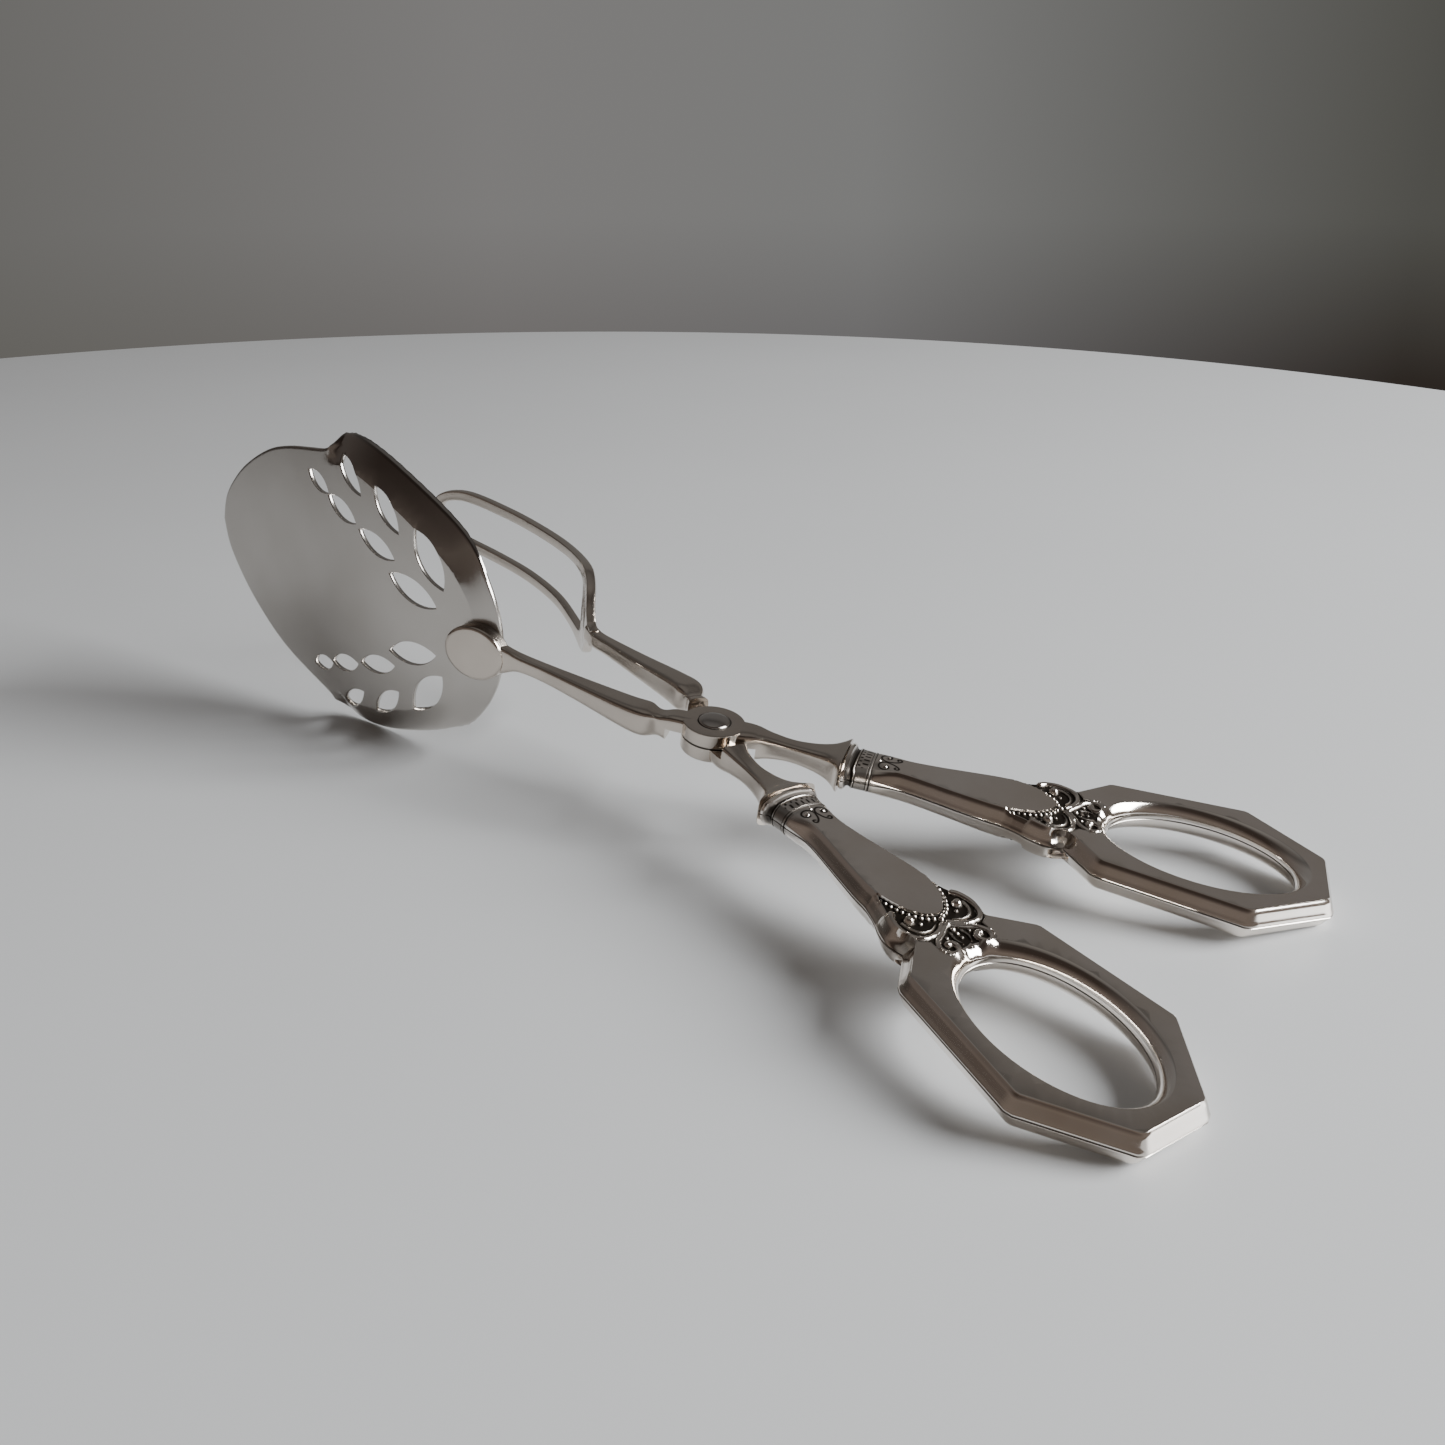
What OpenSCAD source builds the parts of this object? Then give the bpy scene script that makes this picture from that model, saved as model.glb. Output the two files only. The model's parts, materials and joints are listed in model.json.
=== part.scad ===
// Scissor-action pastry tongs with a pierced server blade and an open loop jaw.
// Two stainless arms cross at a half-lap rivet; each has a two-part silver handle
// with an eight-sided finger loop. Millimetres, +Z up, jaws towards +Y, lying at rest.

/* [Handles] */
// Distance from the rivet back to the middle of a finger loop's end, along Y
handle_reach = 90; // [84:1:100]
// Angle between one handle's centre line and the middle line
handle_splay = 18.85; // [17:0.05:21]
// Sideways offset of a loop's end from the middle line
loop_offset = 32.1; // [31:0.1:36]
// Half the thickness of a handle, face to seam
handle_h = 2.5; // [2.2:0.1:3]
// How far the seam ridge stands out past the flat face's edge
bevel_w = 1.2; // [0.8:0.1:1.4]
// Half length of the finger hole
hole_a = 15.6; // [14:0.1:15.8]
// Half width of the finger hole
hole_b = 10.7; // [9:0.1:10.9]
// How much smaller the finger hole is at the seam, as a ratio
hole_waist = 0.9; // [0.88:0.01:1]
// Height of the cast ornament above the flat face
ornament_h = 0.35; // [0.2:0.05:0.5]

/* [Pivot] */
// Radius of each half-lap disc
disc_r = 5.15; // [4.8:0.05:5.6]
// Thickness of each half-lap disc
disc_t = 2.4; // [2.2:0.05:2.4]
// Radius of the rivet's shank
rivet_r = 1.7; // [1.5:0.05:2]
// Running clearance between the rivet and the lower disc, on the radius
rivet_gap = 0.05; // [0.02:0.01:0.08]
// Radius of the rivet's domed head
rivet_head_r = 2.6; // [2.4:0.05:3]

/* [Server blade] */
// Thickness of the blade's sheet
sheet_t = 0.9; // [0.7:0.05:1.1]
// Radius the sheet is dished to
dish_r = 138; // [130:1:150]
// Blade angle towards the other jaw
blade_in = 5.5; // [4:0.5:7]

/* [Loop jaw] */
// Thickness of the loop's band
band_t = 1.8; // [1.4:0.1:2.2]

/* [Hidden] */
$fn = 64;
eps = 0.01;                       // overlap that joins two solids of one piece
lap = 0.05;                       // half the slit between the two discs
lap_room = 2.4;                   // room round each disc, where an arm keeps to its own level
lean = 8.983;                     // lean of the tongs as they lie, jaws raised by the blade's rim
lean_lift = 16.8;                 // raises the leaning tongs on to z = 0
centre_x = 0;                     // centre of the whole part, across
centre_y = 13.6;                  // centre of the whole part, along
blade_base = -17.6;               // where the blade's line crosses the rivet's line
dish_s0 = 85.5;                   // deepest line of the dish, along the blade
silver = [0.80, 0.78, 0.74];
steel = [0.62, 0.60, 0.58];
pitch = [0.22, 0.18, 0.14];

// ---------- helpers ----------
function unit(v) = v / max(norm(v), 0.000001);
function left(v) = [-v[1], v[0]];
function wrap(i, n) = (i + n) % n;

// Grow a closed outline by e at each corner; points are [x, y, share of e]
function grown(p, e) = [for (i = [0 : len(p) - 1])
    let (n = len(p),
         a = [p[wrap(i - 1, n)][0], p[wrap(i - 1, n)][1]],
         b = [p[i][0], p[i][1]],
         c = [p[wrap(i + 1, n)][0], p[wrap(i + 1, n)][1]],
         n1 = -left(unit(b - a)),
         n2 = -left(unit(c - b)),
         k = e * p[i][2] / max(1 + n1 * n2, 0.5))
    b + k * (n1 + n2)];

// Solid between a low outline at z0 and a high outline at z1
module slab(lo, hi, z0, z1) {
    n = len(lo);
    pts = concat([for (q = lo) [q[0], q[1], z0]], [for (q = hi) [q[0], q[1], z1]]);
    sides = [for (i = [0 : n - 1]) for (h = [0, 1])
        h == 0 ? [wrap(i + 1, n), i, n + i] : [wrap(i + 1, n), n + i, n + wrap(i + 1, n)]];
    polyhedron(pts, concat(sides, [[for (i = [0 : n - 1]) i]],
                           [[for (i = [0 : n - 1]) 2 * n - 1 - i]]), 4);
}

// Catmull-Rom curve through hand-set points, m steps a span
function cr(a, b, c, d, u) = 0.5 * (2 * b + (c - a) * u + (2 * a - 5 * b + 4 * c - d) * u * u
    + (3 * b - a - 3 * c + d) * u * u * u);
function curve(p, m) = let (n = len(p)) concat(
    [for (i = [0 : n - 2]) for (j = [0 : m - 1])
        cr(p[max(i - 1, 0)], p[i], p[i + 1], p[min(i + 2, n - 1)], j / m)],
    [p[n - 1]]);

// Bar lofted along a path; each row is [x, y, half width, half height]
module bar(rows, m = 3) {
    r = curve(rows, m);
    n = len(r);
    s = 16;
    function rim(a) = let (c = cos(a), d = sin(a))
        [sign(c) * pow(abs(c), 0.62), sign(d) * pow(abs(d), 0.62)];
    function dir(i) = unit([r[min(i + 1, n - 1)][0] - r[max(i - 1, 0)][0],
                            r[min(i + 1, n - 1)][1] - r[max(i - 1, 0)][1]]);
    pts = [for (i = [0 : n - 1]) for (k = [0 : s - 1])
        let (q = rim((k + 0.5) * 360 / s), w = left(dir(i)))
        [r[i][0] + w[0] * q[0] * r[i][2], r[i][1] + w[1] * q[0] * r[i][2], q[1] * r[i][3]]];
    quads = [for (i = [0 : n - 2]) for (k = [0 : s - 1]) for (h = [0, 1])
        h == 0 ? [(i + 1) * s + wrap(k + 1, s), i * s + wrap(k + 1, s), i * s + k]
               : [(i + 1) * s + k, (i + 1) * s + wrap(k + 1, s), i * s + k]];
    ends = [[for (k = [0 : s - 1]) k], [for (k = [0 : s - 1]) n * s - 1 - k]];
    polyhedron(pts, concat(quads, ends), 4);
}

// The attitude shared by every piece as it lies on the table
module laid() {
    translate([-centre_x, -centre_y, lean_lift]) rotate([lean, 0, 0]) children();
}

// Handle frame: +Y runs from the loop's end towards the rivet, side is -1 near, 1 far
module at_handle(side) {
    translate([side * loop_offset, -handle_reach, 0]) rotate([0, 0, side * handle_splay]) children();
}

// ---------- handles ----------
// Where a handle's front end meets the bolster, along its own line
front_y = 73.6;
// One side of the flat face's outline: [out, along, share of bevel]
grip_side = curve([[4.0, 72.2, 1], [3.3, 70.6, 1], [2.9, 68.2, 1], [2.35, 65.3, 1],
                   [2.35, 63.2, 1], [2.7, 60.5, 1], [3.2, 57.5, 1], [3.7, 54.6, 1],
                   [4.35, 50.5, 1], [4.55, 47.5, 1], [4.6, 45.4, 1], [5.4, 43.6, 1],
                   [6.4, 42.0, 1], [6.8, 40.4, 1], [6.5, 38.8, 1]], 2);
loop_side_pts = [[6.2, 37.6, 1], [11.6, 32.5, 1], [14.1, 11.35, 1], [5.5, 0, 1]];
half_face = concat([[4.0, front_y, 1]], grip_side, loop_side_pts);
face = concat([for (i = [len(half_face) - 1 : -1 : 0]) half_face[i]],
              [for (q = half_face) [-q[0], q[1], q[2]]]);
// The bevel stands out all round but for the handle's front end, which stays square
ridge = [for (q = grown(face, bevel_w)) [q[0], min(q[1], front_y)]];
// Middle of the finger hole, from the loop's end
hole_y = 18;
// Collar rings at a handle's front end: [along, height above the face, half width]
collar_rings = [[73.1, 0.5, 4.4], [71.6, 0.35, 4.0], [68.9, 0.3, 3.3]];
ring_t = 0.7;
// Ornament scrolls on one side: [out, along, radius]
scrolls = [[4.0, 40.3, 2.3], [2.5, 35.6, 1.75]];
scroll_wall = 0.5;
scroll_bead_r = 0.7;
// Cavity in the grip and the tang in it: half width, half height, back end and length
cavity_w = 1.9;
cavity_h = 1.7;
cavity_y = 45;
cavity_l = front_y - cavity_y;
tang_w = 1.2;
tang_h = 0.9;
tang_y = 48;
tang_l = 27;
past = 12;                        // how far a cut runs on through an open end

// Oval outline of the finger hole at ratio k, counter-clockwise
function oval(k, steps = 72) = [for (i = [0 : steps - 1]) let (a = i * 360 / steps)
    [hole_b * k * cos(a), hole_y + hole_a * k * sin(a)]];

module finger_hole() {
    over = 0.5;
    flare = (1 - hole_waist) / handle_h;
    slab(oval(hole_waist - flare * over), oval(1 + flare * over), -over, handle_h + over);
}

module scroll(x, y, r) {
    floor_t = 0.1;
    translate([x, y, handle_h - eps]) {
        difference() {
            cylinder(h = ornament_h + eps, r = r);
            translate([0, 0, floor_t]) cylinder(h = ornament_h, r = r - scroll_wall);
        }
        cylinder(h = ornament_h + eps, r = scroll_bead_r);
    }
}

// One half of a handle's shell, from the seam up; resize at its own size closes it as one mesh
module half_handle() {
    resize([0, 0, 0]) difference() {
        union() {
            slab(ridge, [for (q = face) [q[0], q[1]]], 0, handle_h);
            for (s = [-1, 1])
                for (q = scrolls)
                    scroll(s * q[0], q[1], q[2]);
            for (q = collar_rings)
                translate([-q[2], q[0] - ring_t / 2, 0])
                    cube([2 * q[2], ring_t, handle_h + q[1]]);
        }
        finger_hole();
        translate([-cavity_w, cavity_y, -1])
            cube([2 * cavity_w, cavity_l + past, 1 + cavity_h]);
    }
}

module cement_core() {
    difference() {
        translate([-cavity_w, cavity_y, -cavity_h])
            cube([2 * cavity_w, cavity_l, 2 * cavity_h]);
        translate([-tang_w, tang_y, -tang_h])
            cube([2 * tang_w, tang_l + past, 2 * tang_h]);
    }
}

// ---------- arms ----------
// Neck, flared bolster and tang, in the handle frame
module neck_and_tang(side) {
    bar([[0, front_y, 5.0, 3.0], [0, 74.4, 4.6, 2.9], [0, 76, 3.0, 2.3], [0, 79, 1.9, 1.8],
         [0, 82.5, 1.5, 1.6], [side * -0.1, 86, 1.75, 1.9], [side * -0.4, 88.8, 2.45, 2.4],
         [side * -0.9, 91.5, 2.9, 2.45]]);
    translate([-tang_w, tang_y, -tang_h]) cube([2 * tang_w, tang_l, 2 * tang_h]);
}

// One half-lap disc; level 1 is the upper one
module lap_disc(level) {
    translate([0, 0, level > 0 ? lap : -lap - disc_t]) cylinder(h = disc_t, r = disc_r);
}

// Clears the other arm's level round the disc
module lap_room_cut(level) {
    depth = 5;
    translate([0, 0, level > 0 ? -depth : -lap])
        cylinder(h = depth + lap, r = disc_r + lap_room);
}

module bore(r) {
    cylinder(h = 20, r = r, center = true);
}

// Arms between the rivet and the jaws: [x, y, half width, half height]
server_path = [[-1.0, 2.5, 2.6, 2.45], [-2.6, 6.0, 2.6, 2.45], [-3.5, 8.3, 1.7, 1.9],
               [-4.3, 10.6, 2.5, 2.4], [-4.8, 14.6, 2.35, 2.2], [-5.0, 23.4, 1.8, 1.7],
               [-5.3, 31.8, 1.3, 1.4], [-5.9, 37.5, 1.2, 1.5], [-7.3, 40.4, 1.2, 2.6]];
loop_path = [[1.4, 2.2, 2.6, 2.45], [4.2, 6.4, 2.6, 2.45], [5.6, 8.4, 1.7, 1.9],
             [7.2, 10.8, 2.5, 2.4], [8.2, 15, 2.3, 2.2], [9.4, 23.2, 1.8, 1.7],
             [10.6, 31, 1.3, 1.4], [11.2, 35, 1.2, 1.4], [12.4, 37.8, 1.15, 1.6]];

module server_arm() color(steel) laid() difference() {
    union() {
        difference() {
            union() {
                bar(server_path);
                at_handle(1) neck_and_tang(1);
            }
            lap_room_cut(1);
            dish(0);
        }
        lap_disc(1);
        pad();
    }
    bore(rivet_r);
}

module loop_arm() color(steel) laid() difference() {
    union() {
        difference() {
            union() {
                bar(loop_path);
                at_handle(-1) neck_and_tang(-1);
            }
            lap_room_cut(-1);
        }
        lap_disc(-1);
        loop_frame();
    }
    bore(rivet_r + rivet_gap);
}

// Oval pad brazed to the blade, shaped to the dish behind it
module pad() {
    at = [-9.9, 45.2, 0];
    turn = 14;
    half_up = 5.0;
    half_along = 5.8;
    difference() {
        translate(at) rotate([0, 0, turn]) rotate([0, 90, 0])
            scale([half_up, half_along, 1]) cylinder(h = 4, r = 1);
        dish(0);
    }
}

// ---------- server blade ----------
module at_blade() {
    translate([blade_base, 0, 0]) rotate([0, 0, -blade_in]) children();
}

// Dished form, drawn in by t: part of a ball run out into a trough
module dish_form(t) {
    trough_l = 50;
    translate([dish_r, dish_s0, 0]) {
        sphere(r = dish_r - t, $fn = 240);
        rotate([-90, 0, 0]) cylinder(h = trough_l, r = dish_r - t, $fn = 240);
    }
}

module dish(t) {
    at_blade() dish_form(t);
}

// Half of the blade's outline: [along, half width]
rim_side = curve([[42.2, 0], [42.4, 3.2], [43.4, 7.4], [45.6, 11.8], [50.2, 17.2],
                  [56, 21], [62.4, 24.2], [70, 27.2], [76, 28.9], [80.2, 29.2]], 3);
tip_side = curve([[83.2, 27.6], [86, 25.2], [90.5, 23.8], [97, 22.2], [103, 19.9],
                  [109, 16.2], [114.5, 11.6], [119.5, 5.6], [121.2, 0]], 3);
blade_half = concat(rim_side, tip_side);
blade_outline = concat(blade_half, [for (i = [len(blade_half) - 2 : -1 : 1])
    [blade_half[i][0], -blade_half[i][1]]]);

// Leaf holes on one side: [along, out, length, width, turn]
leaves = [[61.4, 6.2, 11.5, 4.4, 15], [70.4, 12.0, 9.6, 3.6, 17], [80.0, 15.6, 8.6, 3.4, 19],
          [87.2, 18.6, 6.8, 3.0, 21], [57.9, 13.2, 11.6, 5.0, 54], [68.2, 19.2, 9.4, 3.6, 47],
          [78.0, 22.6, 8.6, 3.2, 41]];

// Leaf between two arcs, l long and w wide
module leaf(l, w) {
    rr = (l * l + w * w) / (4 * w);
    intersection() {
        translate([0, rr - w / 2]) circle(r = rr, $fn = 96);
        translate([0, -rr + w / 2]) circle(r = rr, $fn = 96);
    }
}

module blade_flat() {
    difference() {
        polygon(blade_outline);
        for (s = [-1, 1])
            for (q = leaves)
                translate([q[0], s * q[1]]) rotate([0, 0, s * q[4]]) leaf(q[2], q[3]);
    }
}

// Turns a flat outline drawn as [along, up] to stand across X, starting at x
module standing(x, depth) {
    multmatrix([[0, 0, 1, x], [1, 0, 0, 0], [0, 1, 0, 0], [0, 0, 0, 1]])
        linear_extrude(height = depth) children();
}

module server_blade() color(steel) laid() at_blade() difference() {
    intersection() {
        dish_form(0);
        standing(-1, 12) blade_flat();
    }
    dish_form(sheet_t);
}

// ---------- loop jaw ----------
// The bowed line of the loop's band, seen from above
band_line = curve([[10.9, 35.4], [13.4, 38.8], [16.9, 42.2], [20.3, 46.2], [24.4, 52.5],
                   [28.2, 60.5], [31, 70.5], [32.3, 80], [32.7, 90], [31.9, 102]], 4);
// Outer and inner edge of the loop, upper half: [along, up]
loop_out = curve([[35.4, 1.3], [37.4, 1.8], [39.4, 4.2], [41.2, 6.6], [43.4, 7.9], [46, 8.3],
                  [52, 7.7], [60, 7.0], [70, 6.6], [80, 6.5], [90, 6.3], [95, 5.3],
                  [98.4, 3.6], [100, 1.6], [100.4, 0]], 3);
loop_in = curve([[45.6, 0], [45.6, 3.6], [46.6, 5.4], [52, 5.6], [60, 4.9], [70, 4.5],
                 [80, 4.35], [90, 4.1], [94.5, 3.2], [97.2, 1.8], [98.2, 0]], 3);
function both(h) = concat(h, [for (i = [len(h) - 1 : -1 : 0]) [h[i][0], -h[i][1]]]);

// Open loop, cut from strip and bowed outwards
module loop_frame() {
    n = len(band_line);
    function w(i) = left(unit(band_line[min(i + 1, n - 1)] - band_line[max(i - 1, 0)]));
    half = band_t / 2;
    reach = 12;
    intersection() {
        translate([0, 0, -reach]) linear_extrude(height = 2 * reach)
            polygon(concat([for (i = [0 : n - 1]) band_line[i] - w(i) * half],
                           [for (i = [n - 1 : -1 : 0]) band_line[i] + w(i) * half]));
        standing(0, 60) difference() {
            polygon(both(loop_out));
            polygon(both(loop_in));
        }
    }
}

// ---------- rivet ----------
// Shank with a shallow dome at each end, the lower one clear of its disc
module pivot_rivet() color(steel) laid() {
    top = lap + disc_t;
    cap_h = 0.9;
    cap_r = (rivet_head_r * rivet_head_r + cap_h * cap_h) / (2 * cap_h);
    translate([0, 0, -top]) cylinder(h = 2 * top, r = rivet_r);
    for (s = [-1, 1])
        mirror([0, 0, s > 0 ? 0 : 1]) translate([0, 0, top + (s > 0 ? 0 : lap)])
            intersection() {
                translate([0, 0, cap_h - cap_r]) sphere(r = cap_r, $fn = 96);
                cylinder(h = cap_h + 1, r = rivet_head_r);
            }
    translate([0, 0, -top - lap - eps]) cylinder(h = lap + 2 * eps, r = rivet_r);
}

// ---------- handle pieces ----------
module near_shell_upper() color(silver) laid() at_handle(-1) half_handle();
module near_shell_lower() color(silver) laid() at_handle(-1) mirror([0, 0, 1]) half_handle();
module near_cement() color(pitch) laid() at_handle(-1) cement_core();
module far_shell_upper() color(silver) laid() at_handle(1) half_handle();
module far_shell_lower() color(silver) laid() at_handle(1) mirror([0, 0, 1]) half_handle();
module far_cement() color(pitch) laid() at_handle(1) cement_core();

server_arm();
server_blade();
loop_arm();
pivot_rivet();
near_shell_upper();
near_shell_lower();
near_cement();
far_shell_upper();
far_shell_lower();
far_cement();
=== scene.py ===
import json
import math

import bpy
import numpy as np
from mathutils import Matrix, Vector
from mathutils.geometry import delaunay_2d_cdt


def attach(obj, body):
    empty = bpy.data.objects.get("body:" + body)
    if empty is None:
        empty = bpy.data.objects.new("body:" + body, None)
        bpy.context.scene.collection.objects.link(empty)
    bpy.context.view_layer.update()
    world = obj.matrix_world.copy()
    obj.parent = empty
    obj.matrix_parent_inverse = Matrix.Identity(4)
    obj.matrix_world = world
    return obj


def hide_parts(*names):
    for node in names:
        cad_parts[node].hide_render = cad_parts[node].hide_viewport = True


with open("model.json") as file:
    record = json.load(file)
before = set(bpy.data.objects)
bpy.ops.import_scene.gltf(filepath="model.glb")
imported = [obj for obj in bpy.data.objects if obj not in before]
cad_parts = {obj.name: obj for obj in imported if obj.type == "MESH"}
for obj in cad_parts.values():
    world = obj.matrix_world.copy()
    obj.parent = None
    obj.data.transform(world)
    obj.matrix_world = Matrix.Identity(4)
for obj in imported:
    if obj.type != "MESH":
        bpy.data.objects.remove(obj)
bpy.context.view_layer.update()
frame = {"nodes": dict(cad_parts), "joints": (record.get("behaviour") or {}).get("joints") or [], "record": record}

MM = 0.001

# ---------------------------------------------------------------- places, from the frame
record = frame["record"]
pivot = next(j for j in frame["joints"] if j["name"] == "pivot")
hinge = Vector(pivot["axis"]).normalized()
lean = math.atan2(-hinge.y, hinge.z)
# Rivet frame: +Z along the rivet, +Y towards the jaws, origin in the slit between the discs
RIVET = Matrix.Translation(Vector(pivot["pos_m"])) @ Matrix.Rotation(lean, 4, "X")
NEAR, FAR = "near", "far"
SERVER, LOOP = "server_side", "loop_side"


def handle_frame(which):
    """+Y from the loop's end towards the rivet, origin under the middle of the loop's end."""
    hang = next(m for m in record["mounts"] if m["name"] == which + "_hang_loop")
    along = -Vector(hang["axis"]).normalized()
    across = along.cross(hinge).normalized()
    place = Matrix((across, along, hinge)).transposed().to_4x4()
    place.translation = Vector(hang["pos_m"]) - along * HANG_Y * MM
    return place


# ---------------------------------------------------------------- sizes, mm
HANG_Y = 2.9             # the hanging point, from the loop's end
HANDLE_H = 2.5           # half a handle's thickness
BEVEL_W = 1.2            # seam ridge beyond the flat face
FRONT_Y = 73.6           # front end of a handle
HOLE_Y, HOLE_A, HOLE_B = 18.0, 15.6, 10.7    # finger hole: centre, half length, half width
HOLE_WAIST = 0.9         # the hole's width on the seam, as a share of its width on the face
DISC_R, DISC_T, LAP = 5.15, 2.4, 0.05        # half-lap disc, and half the slit between the two
RUNNING_GAP = 0.05       # clearance of the lower disc's bore round the rivet
RIVET_SINK = 0.05        # depth of the recess that a rivet head is seated in
ROOM_R = 7.5             # inside this an arm keeps to its own level
RIVET_R, DOME_R = 1.7, 2.6                   # rivet's shank and its domed heads
DOME_H = 0.7             # rise of the upper head
LOW_DOME_H = 0.8 * DOME_H
SHEET_T = 0.9            # thickness of the server blade
DISH_R, DISH_S0 = 138.0, 85.5                # ball that the blade is dished to, and its centre
BLADE_BASE, BLADE_IN = -17.6, math.radians(5.5)   # the blade's place across, and its turn inwards
BAND_T = 1.8             # thickness of the loop jaw
BLADE = RIVET @ Matrix.Translation((BLADE_BASE * MM, 0, 0)) @ Matrix.Rotation(-BLADE_IN, 4, "Z")


# ---------------------------------------------------------------- number helpers
def curve(points, steps):
    """Catmull-Rom curve through given rows, with so many steps to a span."""
    p = np.array(points, float)
    n = len(p)
    u = np.arange(steps)[:, None] / steps
    out = []
    for i in range(n - 1):
        a, b, c, d = p[max(i - 1, 0)], p[i], p[i + 1], p[min(i + 2, n - 1)]
        out.append(0.5 * (2 * b + (c - a) * u + (2 * a - 5 * b + 4 * c - d) * u ** 2
                          + (3 * b - a - 3 * c + d) * u ** 3))
    return np.vstack(out + [p[-1:]])


def smoothstep(x, lo, hi):
    """0 below lo, 1 above hi, with an S-shaped rise between."""
    t = np.clip((x - lo) / (hi - lo), 0, 1)
    return t * t * (3 - 2 * t)


def normals_2d(loop):
    """Mitred outward offsets of a closed counter-clockwise loop, for one unit of growth."""
    before, after = np.roll(loop, 1, 0), np.roll(loop, -1, 0)

    def side(v):
        v = v / np.maximum(np.linalg.norm(v, axis=1), 1e-9)[:, None]
        return np.stack([v[:, 1], -v[:, 0]], 1)
    n1, n2 = side(loop - before), side(after - loop)
    return (n1 + n2) / np.maximum(1 + (n1 * n2).sum(1), 0.6)[:, None]


def resample(loop, pitch):
    """A closed loop with its long edges cut to about the pitch, a number or a function of y."""
    out = []
    for a, b in zip(loop, np.roll(loop, -1, 0)):
        step = pitch((a[1] + b[1]) / 2) if callable(pitch) else pitch
        n = max(1, int(round(np.linalg.norm(b - a) / step)))
        out += [a + (b - a) * k / n for k in range(n)]
    return np.array(out)


def headings(path):
    """Unit direction of an open path at each of its points."""
    way = np.gradient(path, axis=0)
    return way / np.linalg.norm(way, axis=1)[:, None]


def offset(path, gap):
    """An open path moved sideways, to its right for a positive gap."""
    way = headings(path)
    return path + np.stack([way[:, 1], -way[:, 0]], 1) * gap


def inside(points, loops):
    """Even-odd test of points against closed loops."""
    hit = np.zeros(len(points), bool)
    x, y = points[:, 0:1], points[:, 1:2]
    for loop in loops:
        a, b = loop, np.roll(loop, -1, 0)
        spans = (a[:, 1] > y) != (b[:, 1] > y)
        rise = np.where(b[:, 1] == a[:, 1], 1e-12, b[:, 1] - a[:, 1])
        cross = a[:, 0] + (y - a[:, 1]) / rise * (b[:, 0] - a[:, 0])
        hit ^= (np.sum(spans & (x < cross), 1) % 2).astype(bool)
    return hit


def distance(points, path):
    """Distance from points to a polyline, and where along it, 0 to 1."""
    a, b = path[:-1], path[1:]
    ab = b - a
    length = np.maximum((ab ** 2).sum(1), 1e-12)
    t = np.clip(((points[:, None] - a) * ab).sum(2) / length, 0, 1)
    gap = np.linalg.norm(points[:, None] - a - t[..., None] * ab, axis=2)
    best = gap.argmin(1)
    rows = np.arange(len(points))
    return gap[rows, best], (best + t[rows, best]) / len(a)


ROW_STEP = 0.866         # between the rows of a triangular grid, for a pitch of 1
LINE_CLEAR = 0.08        # a feature line's points keep this far from the edges, mm


def hex_grid(lo, hi, pitch):
    """Points of a triangular grid over the box from lo to hi."""
    rows = np.arange(lo[1], hi[1], pitch * ROW_STEP)
    pts = [(x + (0.5 * pitch if k % 2 else 0), y) for k, y in enumerate(rows)
           for x in np.arange(lo[0], hi[0], pitch)]
    return np.array(pts)


def fill(loops, grids, lines=None):
    """Triangles over the area between loops (outer first), with grid points inside it.

    grids is a list of (points, clearance from the loops and the feature lines). Returns points
    and triangles; the loops' own points come first, in order."""
    rim = np.vstack(loops)
    pts = [rim]
    if lines is not None:
        gap = np.min(np.linalg.norm(lines[:, None] - rim[None], axis=2), 1)
        pts.append(lines[inside(lines, loops) & (gap > LINE_CLEAR)])
    kept = np.vstack(pts)
    for grid, clear in grids:
        grid = grid[inside(grid, loops)]
        if len(grid):
            near = np.min(np.linalg.norm(grid[:, None] - kept[None], axis=2), 1)
            pts.append(grid[near > clear])
    pts = np.vstack(pts)
    edges, start = [], 0
    for loop in loops:
        n = len(loop)
        edges += [(start + i, start + (i + 1) % n) for i in range(n)]
        start += n
    got = delaunay_2d_cdt([Vector(p) for p in pts], edges, [], 0, 1e-7, True)
    back = [ids[0] if ids else -1 for ids in got[3]]
    tris = np.array([[back[i] for i in f] for f in got[2]])
    tris = tris[(tris >= 0).all(1)]
    a, b, c = pts[tris[:, 0]], pts[tris[:, 1]], pts[tris[:, 2]]
    area = (b - a)[:, 0] * (c - a)[:, 1] - (b - a)[:, 1] * (c - a)[:, 0]
    tris = tris[np.abs(area) > 1e-6]
    return pts, tris[inside(pts[tris].mean(1), loops)]


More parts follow.
